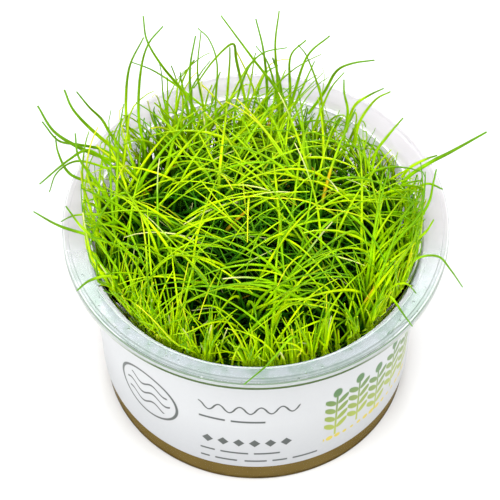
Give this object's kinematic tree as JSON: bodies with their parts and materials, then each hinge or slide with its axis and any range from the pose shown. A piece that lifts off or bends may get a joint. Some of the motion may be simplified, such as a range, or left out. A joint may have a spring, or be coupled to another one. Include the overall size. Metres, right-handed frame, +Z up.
{
  "type": "dwarf hairgrass in a culture cup",
  "caption": "Dwarf hairgrass, an aquarium carpet plant with thread-like leaves, grown as one dense tuft in a round clear culture cup with a paper sleeve.",
  "frame": {"origin": "centre of the cup's flat base", "axes": "+Z up out of the cup's mouth; -Y is the front of the sleeve, +X to its right"},
  "size_m": [0.1162, 0.1011, 0.0951],
  "materials": {
    "clear_plastic": "clear moulded plastic, gloss",
    "label_paper": "satin coated paper, printed",
    "nutrient_gel": "set translucent gel, satin",
    "hairgrass": "fresh thin leaves, satin"
  },
  "bodies": {
    "root": {"cup": "clear_plastic", "label": "label_paper", "gel": "nutrient_gel", "turf": "hairgrass", "leaf_01": "hairgrass", "leaf_02": "hairgrass", "leaf_03": "hairgrass", "leaf_04": "hairgrass", "leaf_05": "hairgrass", "leaf_06": "hairgrass", "leaf_07": "hairgrass", "leaf_08": "hairgrass", "leaf_09": "hairgrass", "leaf_10": "hairgrass", "leaf_11": "hairgrass", "leaf_12": "hairgrass", "leaf_13": "hairgrass", "leaf_14": "hairgrass", "leaf_15": "hairgrass", "leaf_16": "hairgrass", "leaf_17": "hairgrass", "leaf_18": "hairgrass", "leaf_19": "hairgrass", "leaf_20": "hairgrass", "leaf_21": "hairgrass", "leaf_22": "hairgrass", "leaf_23": "hairgrass", "leaf_24": "hairgrass", "leaf_25": "hairgrass", "leaf_26": "hairgrass", "leaf_27": "hairgrass", "leaf_28": "hairgrass", "leaf_29": "hairgrass", "leaf_30": "hairgrass", "leaf_31": "hairgrass", "leaf_32": "hairgrass", "leaf_33": "hairgrass", "leaf_34": "hairgrass", "leaf_35": "hairgrass", "leaf_36": "hairgrass", "leaf_37": "hairgrass", "leaf_38": "hairgrass", "leaf_39": "hairgrass", "leaf_40": "hairgrass", "leaf_41": "hairgrass", "leaf_42": "hairgrass", "leaf_43": "hairgrass", "leaf_44": "hairgrass", "leaf_45": "hairgrass"}
  },
  "joints": []
}
